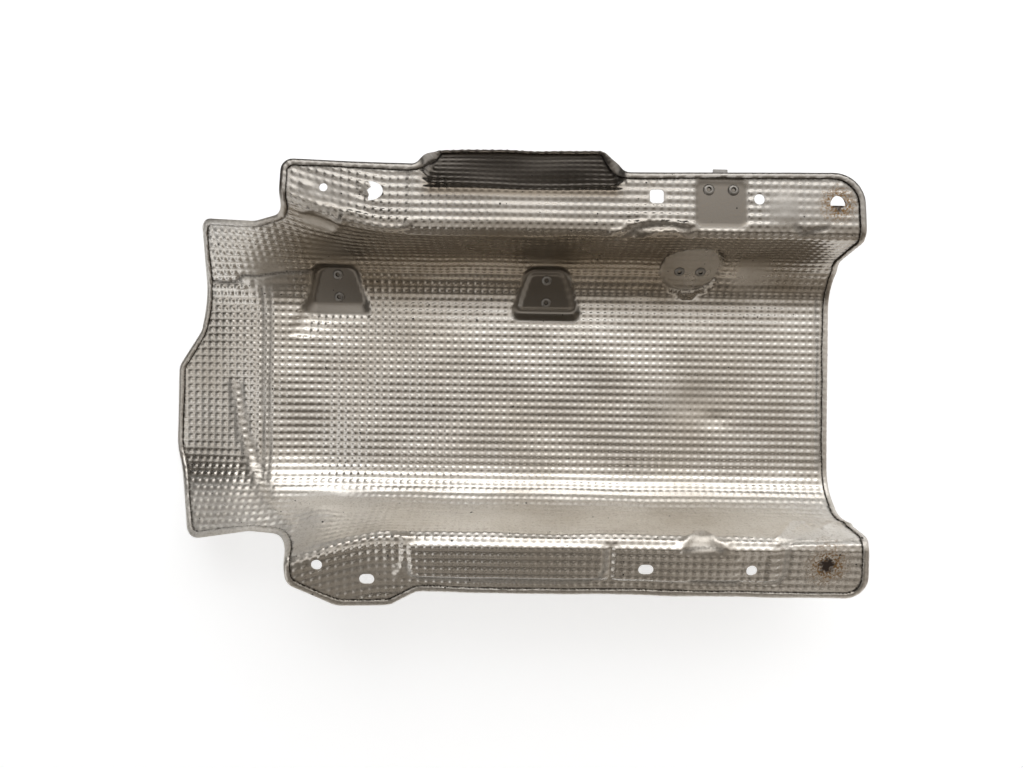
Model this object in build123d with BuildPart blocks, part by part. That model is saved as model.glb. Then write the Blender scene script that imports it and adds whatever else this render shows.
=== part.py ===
import os
from math import cos, pi, radians, sin, sqrt, tan

from build123d import *

os.makedirs("parts", exist_ok=True)

# Sheet and hem
sheet = 1.5
hem_width = 4.8
hem_sink = 0.6

# Trough: a flat floor, two round corners, steep walls and two flanges
floor_half = 68.0
corner_radius = 38.0
wall_angle = 82.0
trough_height = 82.5
bend_radius = 7.0
upper_droop = 4.0
lower_droop = 16.0
right_edge = 273.0

# Mouth at the left end, where the walls lean out and the floor rises to a ridge
mouth_start = -95.0
mouth_end = -300.0
mouth_wall_angle = 30.0
mouth_floor_half = 52.0
mouth_corner_radius = 60.0
ramp_start = -150.0
ridge_x = -216.0
ridge_rise = 8.0
lip_rise = 2.0
mouth_stations = 6
mouth_edge = -288.0

# Flanges, each width measured from the middle of the bend above the wall
upper_width = 45.2
lower_width = 41.2
flange_left = -176.0
lower_left = -169.0
bulge_right = -70.0
bulge_left = -132.0
bulge_depth = 12.0
mouth_upper_width = 8.2
mouth_lower_width = 4.2

# Tab on the upper flange, folded down outside its fold line
tab_left = -62.0
tab_right = 74.0
tab_run = 12.0
tab_fold = 27.2
tab_angle = 36.0
edge_angle = 1.0
tab_width = 68.2

# Pads pressed into the upper corner, each at a turn round that corner
pad_tilt = 18.5
pad_slope = 45.0
left_pad_x = -150.5
left_pad_turn = 22.4
left_pad_depth = 1.4
left_pad_height = 31.0
left_pad_top = 15.0
left_pad_bottom = 24.0
left_pad_corner = 5.0
centre_pad_x = 28.8
centre_pad_turn = 19.2
centre_pad_depth = 0.6
centre_pad_height = 38.0
centre_pad_top = 17.0
centre_pad_bottom = 29.0
centre_pad_corner = 8.0
plateau_rise = 1.6
plateau_inset = 3.5

# Round dish in the upper wall
dish_x = 150.0
dish_turn = 60.0
dish_depth = 3.6
dish_tilt = 47.0
dish_slope = 20.0
dish_radius = 25.0

# Seat in the upper flange, and raised panels on the lower one
panel_slope = 45.0
panel_corner = 5.0
seat_x = 156.0
seat_in = 18.2
seat_width = 40.0
seat_length = 36.0
seat_depth = 1.8
bead_x = -0.5
bead_in = 14.2
bead_width = 150.0
bead_length = 30.0
bead_rise = 1.8
rest_x = 141.0
rest_width = 124.0

# Holes in the flanges
bolt_hole = 8.0
small_hole = 6.2
slot_length = 11.4
upper_hole_in = 23.2
lower_hole_in = 18.7
small_hole_x = -144.0
upper_bolt_x = 184.5
lower_bolt_left = -144.6
lower_bolt_right = 184.0
lower_slot_x = 103.7
bulge_slot_x = -108.0
square_hole = 10.6
square_x = 107.2
dome_width = 11.4
dome_height = 7.6
dome_x = 243.4
torn_width = 12.6
torn_height = 15.0
torn_x = -105.5

# Rivets and the straps they hold
rivet_head = 4.4
rivet_crown = 3.3
rivet_height = 1.3
head_sides = 12
rivet_shank = 1.9
shank_sides = 8
rivet_tail = 3.0
tail_height = 1.2
rivet_gap = 19.4
seat_rivet_gap = 18.6
seat_rivet_y = 11.0
dish_rivet_gap = 17.8
dish_rivet_y = -5.0
strap = 1.5
strap_width = 10.0
strap_margin = 3.8
tongue_width = 11.0
tongue_reach = 0.5
grip = sheet + strap

# How far the trough's blank runs past the outline that trims it
overrun = 20.0


def station(x):
    run = min(max((mouth_start - x) / (mouth_start - mouth_end), 0), 1)
    blend = (1 - cos(pi * run**0.75)) / 2
    angle = wall_angle + (mouth_wall_angle - wall_angle) * blend
    half = floor_half + (mouth_floor_half - floor_half) * blend
    radius = corner_radius + (mouth_corner_radius - corner_radius) * blend
    if x > ridge_x:
        climb = min(max((ramp_start - x) / (ramp_start - ridge_x), 0), 1)
        base = ridge_rise * (1 - cos(pi * climb)) / 2
    else:
        climb = min((ridge_x - x) / (ridge_x - mouth_end), 1)
        base = ridge_rise + (lip_rise - ridge_rise) * (1 - cos(pi * climb)) / 2
    return half, radius, radians(angle), base


# Middle of the bend between wall and flange
bend_z = trough_height - bend_radius - sheet


def bend_middle(x):
    half, radius, lean, base = station(x)
    wall_z = base + sheet + radius - (radius + sheet) * cos(lean)
    run = (bend_z + bend_radius * cos(lean) - wall_z) / tan(lean)
    return half + (radius + sheet + bend_radius) * sin(lean) + run


# Plan edges across the trough, all from the bend of its straight part
brim = bend_middle(right_edge)
upper_edge = brim + upper_width
lower_edge = -brim - lower_width
tab_edge = brim + tab_width
mouth_upper = brim + mouth_upper_width
mouth_lower = -brim - mouth_lower_width


# One half of the cross-section, raised by "level" from the outer face of the sheet
def half_profile(x, level, droop, fold):
    half, radius, lean, base = station(x)
    bend_y = bend_middle(x)
    outer_bend = bend_radius + level
    centre_z = base + sheet + radius
    arc = radius + sheet - level
    swing = (lean - radians(droop)) / 2
    tip = radians(droop)
    fold_y = max(brim + tab_fold, bend_y + 3 * bend_radius)
    fold_z = bend_z + bend_radius * cos(tip) - (fold_y - bend_y - bend_radius * sin(tip)) * tan(tip)
    bent = tip + radians(fold)
    mitre = level / (1 + cos(bent - tip))
    corner = (fold_y + mitre * (sin(tip) + sin(bent)), fold_z + mitre * (cos(tip) + cos(bent)))
    spare = max(tab_edge + overrun - fold_y, overrun) / cos(bent)
    return [
        (half, base + level),
        (half + arc * sin(lean / 2), centre_z - arc * cos(lean / 2)),
        (half + arc * sin(lean), centre_z - arc * cos(lean)),
        (bend_y - outer_bend * sin(lean), bend_z + outer_bend * cos(lean)),
        (bend_y - outer_bend * sin(swing), bend_z + outer_bend * cos(swing)),
        (bend_y + outer_bend * sin(tip), bend_z + outer_bend * cos(tip)),
        corner,
        (corner[0] + spare * cos(bent), corner[1] - spare * sin(bent)),
    ]


# The whole cross-section line: floor, corner, wall, bend, flange and folded edge on each side
def profile_line(x, level):
    fold = tab_angle if tab_left <= x <= tab_right else edge_angle
    upper = half_profile(x, level, upper_droop, fold)
    lower = [(-y, z) for y, z in half_profile(x, level, lower_droop, edge_angle)]
    Line(lower[0], upper[0])
    for side in (upper, lower):
        ThreePointArc(side[0], side[1], side[2])
        Line(side[2], side[3])
        ThreePointArc(side[3], side[4], side[5])
        Line(side[5], side[6])
        Line(side[6], side[7])
    return lower[7], upper[7]


mouth_step = (mouth_end - mouth_start) / mouth_stations
mouth_steps = [mouth_start + mouth_step * i for i in range(mouth_stations + 1)]
tab_steps = [tab_right + tab_run, tab_right, tab_left, tab_left - tab_run]
right_end = right_edge + overrun
stations = [right_end] + tab_steps + mouth_steps
pad_stations = [right_end] + [x for x in mouth_steps if x > left_pad_x - 4 * left_pad_bottom]


# Sheet layer between two levels above the outer face, along the whole trough
def layer(low, high):
    with BuildPart() as body:
        for x in stations:
            with BuildSketch(Plane.YZ.offset(x)):
                with BuildLine():
                    low_ends = profile_line(x, low)
                    high_ends = profile_line(x, high)
                    Line(low_ends[0], high_ends[0])
                    Line(low_ends[1], high_ends[1])
                make_face()
        loft(ruled=True)
    return body.part


# Everything below (or above) one face of the sheet, which trims the pressed forms
def side_of_sheet(level, limit, places):
    with BuildPart() as body:
        for x in places:
            with BuildSketch(Plane.YZ.offset(x)):
                with BuildLine():
                    ends = profile_line(x, level)
                    Polyline(ends[0], (ends[0][0], limit), (ends[1][0], limit), ends[1])
                make_face()
        loft(ruled=True)
    return body.part


# Outline of the sheet seen from above, with the rounding of each corner
def plan_outline():
    corners = [
        (flange_left, upper_edge + 2.5, 9),
        (tab_left - tab_run, upper_edge, 6),
        (tab_left, tab_edge, 6),
        (tab_right - 2, tab_edge, 8),
        (tab_right + tab_run - 3, upper_edge - 4, 6),
        (right_edge - 9, upper_edge - 1.5, 24),
        (right_edge - 8, brim - 7, 8),
        (right_edge, brim - 21, 8),
        (right_edge + 1, 22 - brim, 8),
        (right_edge - 3, 2 - brim, 8),
        (right_edge + 3, lower_edge, 16),
        (bulge_right, lower_edge, 10),
        (bulge_right - 1.75 * bulge_depth, lower_edge - bulge_depth + 0.5, 12),
        (bulge_left, lower_edge - bulge_depth, 18),
        (lower_left + 1, lower_edge + 7, 11),
        (lower_left - 1, mouth_lower + 3, 20),
        (lower_left - 39, mouth_lower + 4, 20),
        (mouth_edge + 29, mouth_lower - 5, 13),
        (mouth_edge - 1, mouth_lower + 66, 40),
        (mouth_edge + 1, mouth_upper - 117, 14),
        (mouth_edge + 21, mouth_upper - 86, 16),
        (mouth_edge + 37, mouth_upper + 1, 9),
        (flange_left - 29, mouth_upper - 3, 24),
        (flange_left - 1, mouth_upper + 1, 12),
    ]
    FilletPolyline(*[(x, y) for x, y, r in corners], radius=[r for x, y, r in corners], close=True)


# Trapezoid with rounded corners, grown outward by "grow"
def trapezoid(top, bottom, height, corner, grow):
    flare = (bottom - top) / height
    side = grow * sqrt(1 + flare**2)
    top_half = top - flare * grow + side
    bottom_half = bottom + flare * grow + side
    rise = height / 2 + grow
    FilletPolyline(
        (-bottom_half, -rise), (bottom_half, -rise), (top_half, rise), (-top_half, rise),
        radius=corner + grow, close=True,
    )


# Rectangle with cut corners, grown outward by "grow"
def panel(width, length, grow):
    x = width / 2 + grow
    y = length / 2 + grow
    cut = panel_corner + (2 - sqrt(2)) * grow
    right = [(x, cut - y), (x, y - cut), (x - cut, y)]
    left = [(cut - x, y), (-x, y - cut), (-x, cut - y)]
    Polyline(*right, *left, (cut - x, -y), (x - cut, -y), close=True)


# Hollow and skin of a pressed form: an outline on a plane with sloping sides
def pressed_form(plane, outline, slope_angle, reach):
    slope = tan(radians(slope_angle))
    skin = sheet / cos(radians(slope_angle))
    with BuildPart() as hollow:
        for height in (0, reach):
            with BuildSketch(plane.offset(height)):
                with BuildLine():
                    outline(height * slope)
                make_face()
        loft(ruled=True)
    with BuildPart() as wall:
        for height in (-sheet, reach):
            with BuildSketch(plane.offset(height)):
                with BuildLine():
                    outline(height * slope + skin)
                make_face()
        loft(ruled=True)
        add(hollow.part, mode=Mode.SUBTRACT)
    return hollow.part, wall.part


def tilted(x, y, z, angle):
    lean = radians(angle)
    return Plane(origin=(x, y, z), x_dir=(1, 0, 0), z_dir=(0, -sin(lean), cos(lean)))


# Plane of a form at a turn round the upper corner, a depth below its inner face
def corner_plane(x, turn, depth, angle):
    y = floor_half + corner_radius * sin(radians(turn))
    z = sheet + corner_radius * (1 - cos(radians(turn))) - depth
    return tilted(x, y, z, angle)


def upper_flange_z(y):
    edge = half_profile(right_edge, sheet, upper_droop, 0.0)
    return edge[5][1] - (y - edge[5][0]) * tan(radians(upper_droop))


def lower_flange_z(y):
    edge = half_profile(right_edge, 0.0, lower_droop, 0.0)
    return edge[5][1] - (-y - edge[5][0]) * tan(radians(lower_droop))


left_pad = corner_plane(left_pad_x, left_pad_turn, left_pad_depth, pad_tilt)
centre_pad = corner_plane(centre_pad_x, centre_pad_turn, centre_pad_depth, pad_tilt)
dish = corner_plane(dish_x, dish_turn, dish_depth, dish_tilt)
seat_y = brim + seat_in
bead_y = -brim - bead_in
seat = tilted(seat_x, seat_y, upper_flange_z(seat_y) - seat_depth, -upper_droop)


def below_flange(x):
    lean = radians(lower_droop)
    return Plane(
        origin=(x, bead_y, lower_flange_z(bead_y) + bead_rise), x_dir=(1, 0, 0),
        z_dir=(0, sin(lean), -cos(lean)),
    )


def left_pad_outline(grow):
    trapezoid(left_pad_top, left_pad_bottom, left_pad_height, left_pad_corner, grow)


def centre_pad_outline(grow):
    trapezoid(centre_pad_top, centre_pad_bottom, centre_pad_height, centre_pad_corner, grow)


def dish_outline(grow):
    CenterArc((0, 0), dish_radius + grow, 0, 360)


def seat_outline(grow):
    panel(seat_width, seat_length, grow)


def bead_outline(grow):
    panel(bead_width, bead_length, grow)


def rest_outline(grow):
    panel(rest_width, bead_length, grow)


pad_reach = corner_radius / 3
sunk_forms = [
    pressed_form(left_pad, left_pad_outline, pad_slope, pad_reach),
    pressed_form(centre_pad, centre_pad_outline, pad_slope, pad_reach),
    pressed_form(dish, dish_outline, dish_slope, dish_radius),
    pressed_form(seat, seat_outline, panel_slope, 3 * sheet),
]
raised_forms = [
    pressed_form(below_flange(bead_x), bead_outline, panel_slope, 3 * sheet),
    pressed_form(below_flange(rest_x), rest_outline, panel_slope, 3 * sheet),
]
under_sheet = side_of_sheet(sheet, -corner_radius, pad_stations)
over_sheet = side_of_sheet(0.0, trough_height + corner_radius, [right_end, mouth_start])


def trimmed(skin, side):
    with BuildPart() as piece:
        add(skin)
        add(side, mode=Mode.INTERSECT)
    return piece.part


sunk_skins = [trimmed(skin, under_sheet) for hollow, skin in sunk_forms]
raised_skins = [trimmed(skin, over_sheet) for hollow, skin in raised_forms]

# The folded-over rim, a second layer on the sheet along the plan outline
hem_layer = layer(hem_sink, 2 * sheet)
with BuildPart() as hem:
    with BuildSketch():
        with BuildLine():
            plan_outline()
        make_face()
        offset(amount=-hem_width, mode=Mode.SUBTRACT)
    extrude(amount=3 * trough_height, both=True)
    add(hem_layer, mode=Mode.INTERSECT)


# Raised plateau inside the centre pad, and the hollow behind it
def plateau_body(low, grow):
    with BuildPart() as body:
        for height, inset in ((low, 0), (low + plateau_rise, plateau_rise)):
            with BuildSketch(centre_pad.offset(height)):
                with BuildLine():
                    centre_pad_outline(grow - plateau_inset - inset)
                make_face()
        loft(ruled=True)
    return body.part


plateau = plateau_body(0, 0)
plateau_hollow = plateau_body(-sheet, -sheet / 3)

# Rivet places: along each pad, across the seat and across the dish
pad_places = [(0, rivet_gap / 2), (0, -rivet_gap / 2)]
seat_places = [(-seat_rivet_gap / 2, seat_rivet_y), (seat_rivet_gap / 2, seat_rivet_y)]
dish_places = [(-dish_rivet_gap / 2, dish_rivet_y), (dish_rivet_gap / 2, dish_rivet_y)]
centre_face = centre_pad.offset(plateau_rise)
riveted = [
    (left_pad, pad_places),
    (centre_face, pad_places),
    (seat, seat_places),
    (dish, dish_places),
]
upper_hole_y = brim + upper_hole_in
lower_hole_y = -brim - lower_hole_in

# The shield: one pressed sheet, hemmed all round
trough = layer(0.0, sheet)
with BuildPart() as shield:
    add(trough)
    with BuildSketch():
        with BuildLine():
            plan_outline()
        make_face()
    extrude(amount=3 * trough_height, both=True, mode=Mode.INTERSECT)
    add(hem.part)
    for hollow, skin in sunk_forms + raised_forms:
        add(hollow, mode=Mode.SUBTRACT)
    for skin in sunk_skins + raised_skins:
        add(skin)
    add(plateau)
    add(plateau_hollow, mode=Mode.SUBTRACT)
    with BuildSketch(Plane.XY.offset(trough_height / 2)):
        with Locations((small_hole_x, upper_hole_y + 3)):
            Circle(small_hole / 2)
        lower_bolts = [(lower_bolt_left, lower_hole_y), (lower_bolt_right, lower_hole_y)]
        with Locations((upper_bolt_x, upper_hole_y - 1), *lower_bolts):
            Circle(bolt_hole / 2)
        with Locations((lower_slot_x, lower_hole_y), (bulge_slot_x, lower_hole_y - bulge_depth)):
            SlotOverall(slot_length, bolt_hole)
        with Locations((square_x, upper_hole_y)):
            RectangleRounded(square_hole, square_hole, square_hole / 4)
        with BuildLine(Plane((dome_x, upper_hole_y - 5, 0))):
            Line((-dome_width / 2, 0), (dome_width / 2, 0))
            ThreePointArc((dome_width / 2, 0), (0, dome_height), (-dome_width / 2, 0))
        make_face()
        with BuildLine(Plane((torn_x, upper_hole_y + 1, 0))):
            torn = torn_height / 2
            Polyline((-4, torn), (-2.8, 3), (-5.5, 0.5), (-4, -3), (-5.5, -torn))
            ThreePointArc((-5.5, -torn), (torn_width / 2, 0), (-4, torn))
        make_face()
    extrude(amount=trough_height, mode=Mode.SUBTRACT)
    for plane, places in riveted:
        with BuildSketch(plane.offset(-2 * sheet)):
            with Locations(*places):
                RegularPolygon(rivet_shank, shank_sides)
        extrude(amount=3 * sheet, mode=Mode.SUBTRACT)
shield.part.label = "shield"
export_step(shield.part, "parts/shield.step")

# Straps behind the pads and the dish
for name, face, width, length, places in (
    ("left_strap", left_pad, strap_width, rivet_gap + 2 * strap_margin, pad_places),
    ("centre_strap", centre_face, strap_width, rivet_gap + 1.4 * strap_margin, pad_places),
    ("dish_strap", dish, dish_rivet_gap + 2 * strap_margin, strap_width, dish_places),
):
    with BuildPart() as backing:
        with BuildSketch(face.offset(-grip)):
            middle = (Vector(*places[0]) + Vector(*places[1])) / 2
            with Locations(middle):
                Rectangle(width, length)
            with Locations(*places):
                RegularPolygon(rivet_shank, shank_sides, mode=Mode.SUBTRACT)
        extrude(amount=strap)
    backing.part.label = name
    export_step(backing.part, f"parts/{name}.step")

# Strap behind the seat, with a tongue that shows past the upper edge
with BuildPart() as seat_strap:
    with BuildSketch(seat.offset(-grip)):
        with Locations((0, seat_rivet_y)):
            Rectangle(seat_rivet_gap + 3.5 * strap_margin, strap_width)
        reach = (upper_edge + tongue_reach - seat_y) / cos(radians(upper_droop))
        with Locations((0, seat_rivet_y)):
            Rectangle(tongue_width, reach - seat_rivet_y, align=(Align.CENTER, Align.MIN))
        with Locations(*seat_places):
            RegularPolygon(rivet_shank, shank_sides, mode=Mode.SUBTRACT)
    extrude(amount=strap)
seat_strap.part.label = "seat_strap"
export_step(seat_strap.part, "parts/seat_strap.step")

# Rivet: a low round head, a shank that fills its hole and a set tail behind the strap
with BuildPart() as rivet:
    with BuildSketch(Plane.XY):
        RegularPolygon(rivet_head, head_sides)
    with BuildSketch(Plane.XY.offset(rivet_height)):
        RegularPolygon(rivet_crown, head_sides)
    loft(ruled=True)
    with BuildSketch(Plane.XY.offset(-grip)):
        RegularPolygon(rivet_shank, shank_sides)
    extrude(amount=grip)
    with BuildSketch(Plane.XY.offset(-grip - tail_height)):
        RegularPolygon(rivet_tail, shank_sides)
    extrude(amount=tail_height)

with BuildPart() as rivets:
    for plane, places in riveted:
        with Locations(plane):
            with Locations(*places):
                add(rivet.part)
rivets.part.label = "rivets"
export_step(rivets.part, "parts/rivets.step")
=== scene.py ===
import math

import bmesh
import bpy
import numpy as np
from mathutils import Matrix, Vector, kdtree
from mathutils.geometry import delaunay_2d_cdt


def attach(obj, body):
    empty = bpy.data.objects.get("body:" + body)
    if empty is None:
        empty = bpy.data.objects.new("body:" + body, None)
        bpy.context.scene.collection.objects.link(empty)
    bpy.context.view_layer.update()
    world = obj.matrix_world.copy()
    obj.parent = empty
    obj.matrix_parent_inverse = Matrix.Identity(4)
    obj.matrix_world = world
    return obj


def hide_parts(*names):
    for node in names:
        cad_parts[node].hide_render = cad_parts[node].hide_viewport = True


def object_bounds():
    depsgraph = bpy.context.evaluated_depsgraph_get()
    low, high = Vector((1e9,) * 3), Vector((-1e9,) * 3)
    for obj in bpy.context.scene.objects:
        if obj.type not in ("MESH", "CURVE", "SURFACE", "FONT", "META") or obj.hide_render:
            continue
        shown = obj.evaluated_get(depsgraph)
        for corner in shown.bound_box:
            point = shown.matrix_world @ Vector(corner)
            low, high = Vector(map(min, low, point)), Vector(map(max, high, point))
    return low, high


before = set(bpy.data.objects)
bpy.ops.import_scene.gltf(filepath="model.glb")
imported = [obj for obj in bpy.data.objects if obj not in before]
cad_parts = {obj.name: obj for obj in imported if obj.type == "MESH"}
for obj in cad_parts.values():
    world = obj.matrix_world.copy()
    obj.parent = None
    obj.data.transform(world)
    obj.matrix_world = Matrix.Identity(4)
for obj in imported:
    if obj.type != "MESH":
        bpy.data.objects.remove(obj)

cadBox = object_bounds()
mm = 0.001
scene = bpy.context.scene
scene.view_settings.view_transform = "Standard"
print("frame loaded:", ", ".join(sorted(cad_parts)))

# cross-section of the trough, millimetres and degrees, the same values as the solids
trough = {
    "sheet": 1.5, "floorHalf": 68.0, "cornerRadius": 38.0, "wallAngle": 82.0, "height": 82.5,
    "bendRadius": 7.0, "upperDroop": 4.0, "lowerDroop": 16.0, "rightEdge": 273.0, "bendSoftness": 3.0,
}
mouth = {
    "start": -95.0, "end": -300.0, "ease": 0.75, "wallAngle": 30.0, "floorHalf": 52.0, "cornerRadius": 60.0,
    "rampStart": -150.0, "ridge": -216.0, "ridgeRise": 8.0, "lipRise": 2.0, "edge": -288.0,
    "upperWidth": 8.2, "lowerWidth": 4.2,
}
flange = {
    "upperWidth": 45.2, "lowerWidth": 41.2, "left": -176.0, "lowerLeft": -169.0, "lowerFold": 1.0,
    "bulgeRight": -70.0, "bulgeLeft": -132.0, "bulgeDepth": 12.0,
}
tab = {
    "left": -62.0, "right": 74.0, "run": 12.0, "fold": 27.2, "foldRoom": 3.0, "angle": 36.0, "width": 68.2,
    "trim": 0.9, "softness": 5.0,
}


def smooth(t):
    t = np.clip(t, 0.0, 1.0)
    return t * t * (3.0 - 2.0 * t)


def halfWave(t):
    return (1.0 - np.cos(np.pi * t)) / 2.0


def shareFrom(x, start, end):
    return np.clip((start - x) / (start - end), 0.0, 1.0)


def softMin(a, b, k):
    h = np.clip(0.5 + 0.5 * (b - a) / k, 0.0, 1.0)
    return b + (a - b) * h - k * h * (1.0 - h)


# floor's half width, corner radius, wall angle and floor height at x
def stationAt(x):
    blend = halfWave(shareFrom(x, mouth["start"], mouth["end"]) ** mouth["ease"])
    half, radius, lean = [
        trough[key] + (mouth[key] - trough[key]) * blend for key in ("floorHalf", "cornerRadius", "wallAngle")
    ]
    base = mouth["ridgeRise"] * halfWave(shareFrom(x, mouth["rampStart"], mouth["ridge"]))
    fall = halfWave(shareFrom(x, mouth["ridge"], mouth["end"]))
    return half, radius, np.radians(lean), base + (mouth["lipRise"] - mouth["ridgeRise"]) * fall


bendZ = trough["height"] - trough["bendRadius"] - trough["sheet"]


def bendMiddle(x):
    half, radius, lean, base = stationAt(x)
    wallZ = base + trough["sheet"] + radius - (radius + trough["sheet"]) * np.cos(lean)
    run = (bendZ + trough["bendRadius"] * np.cos(lean) - wallZ) / np.tan(lean)
    return half + (radius + trough["sheet"] + trough["bendRadius"]) * np.sin(lean) + run


brim = float(bendMiddle(np.array(trough["rightEdge"])))

# table of the inner face over length x and girth v, which runs along the sheet from the floor's middle
stepX, startX, endX = 2.0, -304.0, 294.0
stepV, reachV = 0.5, 310.0
lastCell = 1.001
xLine = np.arange(startX, endX + stepX / 2, stepX)
vHalf = np.arange(0.0, reachV + stepV / 2, stepV)


def sideTable(droop, foldAngle):
    half, radius, lean, base = [part[:, None] for part in stationAt(xLine)]
    bendY = bendMiddle(xLine)[:, None]
    bend = trough["bendRadius"] + trough["sheet"]
    tip = math.radians(droop)
    cornerEnd = half + radius * lean
    wallStart = base + trough["sheet"] + radius * (1.0 - np.cos(lean))
    bendStart = cornerEnd + (bendZ + bend * np.cos(lean) - wallStart) / np.sin(lean)
    bendEnd = bendStart + bend * (lean + tip)
    foldY = np.maximum(brim + tab["fold"], bendY + tab["foldRoom"] * trough["bendRadius"])
    foldV = bendEnd + (foldY - bendY - bend * math.sin(tip)) / math.cos(tip)
    v = vHalf[None, :]
    angle = np.clip((v - half) / radius, 0.0, lean)
    angle = np.where(v > bendStart, np.maximum(lean - (v - bendStart) / bend, -tip), angle)
    angle = angle - foldAngle[:, None] * smooth((v - foldV) / tab["softness"] + 0.5)
    width = int(trough["bendSoftness"] / stepV)
    padded = np.pad(angle, ((0, 0), (width, width)), mode="edge")
    padded[:, :width] = -angle[:, width:0:-1]
    angle = sum(padded[:, k:k + angle.shape[1]] for k in range(2 * width + 1)) / (2 * width + 1)
    middle = (angle[:, 1:] + angle[:, :-1]) / 2.0
    zero = np.zeros((len(xLine), 1))
    y = np.concatenate([zero, np.cumsum(np.cos(middle) * stepV, axis=1)], axis=1)
    z = np.concatenate([zero, np.cumsum(np.sin(middle) * stepV, axis=1)], axis=1) + base + trough["sheet"]
    return y, z, angle


tabRise = smooth((xLine - tab["left"] + tab["run"]) / tab["run"])
tabBlend = tabRise * smooth((tab["right"] + tab["run"] - xLine) / tab["run"])
upperY, upperZ, upperA = sideTable(trough["upperDroop"], np.radians(tab["angle"]) * tabBlend)
lowerFold = np.radians(flange["lowerFold"]) * np.ones(len(xLine))
lowerY, lowerZ, lowerA = sideTable(trough["lowerDroop"], lowerFold)
vLine = np.concatenate([-vHalf[:0:-1], vHalf])
tableY = np.concatenate([-lowerY[:, :0:-1], upperY], axis=1)
tableZ = np.concatenate([lowerZ[:, :0:-1], upperZ], axis=1)
tableA = np.concatenate([-lowerA[:, :0:-1], upperA], axis=1)


def sample(table, x, v):
    i = np.clip((x - xLine[0]) / stepX, 0, len(xLine) - lastCell)
    j = np.clip((v - vLine[0]) / stepV, 0, len(vLine) - lastCell)
    i0, j0 = i.astype(int), j.astype(int)
    fi, fj = i - i0, j - j0
    top = table[i0, j0] * (1 - fj) + table[i0, j0 + 1] * fj
    return top * (1 - fi) + (table[i0 + 1, j0] * (1 - fj) + table[i0 + 1, j0 + 1] * fj) * fi


def girthAt(x, y):
    found = np.empty(len(x))
    for n, (px, py) in enumerate(zip(x, y)):
        i = min(max((px - xLine[0]) / stepX, 0), len(xLine) - lastCell)
        row = tableY[int(i)] * (1 - i % 1) + tableY[int(i) + 1] * (i % 1)
        found[n] = np.interp(py, row, vLine)
    return found


def girth(x, y):
    return float(girthAt(np.array([x]), np.array([y]))[0])


print("section table:", tableY.shape, "brim at", round(brim, 2))

# pressed forms: pads and dish at a turn round the upper corner, seat on the upper flange, panels on the lower
leftPad = {
    "x": -150.5, "turn": 22.4, "depth": 1.4, "tilt": 18.5, "height": 31.0, "top": 15.0, "bottom": 24.0,
    "round": 5.0, "slopes": (60.0, 36.0, 24.0), "plateau": 0.0, "inset": 0.0, "calm": 26.0,
}
centrePad = {
    "x": 28.8, "turn": 19.2, "depth": 0.6, "tilt": 18.5, "height": 38.0, "top": 17.0, "bottom": 29.0,
    "round": 8.0, "slopes": (44.0, 36.0, 24.0), "plateau": 1.6, "inset": 3.0, "calm": 30.0,
}
padEdge = {
    "reach": 26.0, "rise": 40.0, "plateau": 1.6, "inside": 1.4, "soft": 0.7, "sunk": 0.4, "shade": 10.0,
    "fade": 3.0, "least": 1e-6,
}
dish = {
    "x": 150.0, "turn": 60.0, "depth": 3.6, "tilt": 47.0, "radius": 25.0, "slope": 20.0, "calm": 28.0,
    "reach": 20.0, "rise": 30.0, "soft": 1.6, "shade": 0.75, "sunk": 1.8, "fade": 4.0,
}
seat = {
    "x": 156.0, "in": 18.2, "width": 40.0, "length": 36.0, "depth": 1.8, "round": 6.0, "calm": 26.0,
    "edge": 0.5, "fade": 1.5,
}
panels = [
    {"x": -0.5, "in": 14.2, "width": 150.0, "length": 30.0, "rise": 1.8, "round": 6.0},
    {"x": 141.0, "in": 14.2, "width": 124.0, "length": 30.0, "rise": 1.3, "round": 6.0},
    {"x": 184.0, "in": 18.0, "width": 23.0, "length": 24.0, "rise": -0.8, "round": 5.0},
]
stepSlope = 1.2


def tiltedPlace(x, y, z, angle):
    lean = math.radians(angle)
    along = np.array([0.0, math.cos(lean), math.sin(lean)])
    normal = np.array([0.0, -math.sin(lean), math.cos(lean)])
    return np.array([x, y, z]), along, normal


def cornerPlace(spec):
    turn = math.radians(spec["turn"])
    y = trough["floorHalf"] + trough["cornerRadius"] * math.sin(turn)
    z = trough["sheet"] + trough["cornerRadius"] * (1.0 - math.cos(turn)) - spec["depth"]
    return tiltedPlace(spec["x"], y, z, spec["tilt"])


def edgeGaps(a, b, top, bottom, height):
    flare = (bottom - top) / height
    tilt = math.sqrt(1.0 + flare * flare)
    side = (np.abs(a) - (top + bottom) / 2.0 + flare * b) / tilt
    return -b - height / 2.0, side, b - height / 2.0


def roundGap(gaps, rounding):
    shifted = [gap + rounding for gap in gaps]
    outside = np.sqrt(sum(np.maximum(gap, 0.0) ** 2 for gap in shifted))
    return outside + np.minimum(np.maximum.reduce(shifted), 0.0) - rounding


# offsets a, b in the form's plane and height h over it, with the form's normal
def formPlane(points, spec):
    origin, along, normal = cornerPlace(spec)
    local = points - origin
    return local[:, 0], local @ along, local @ normal, normal


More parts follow.
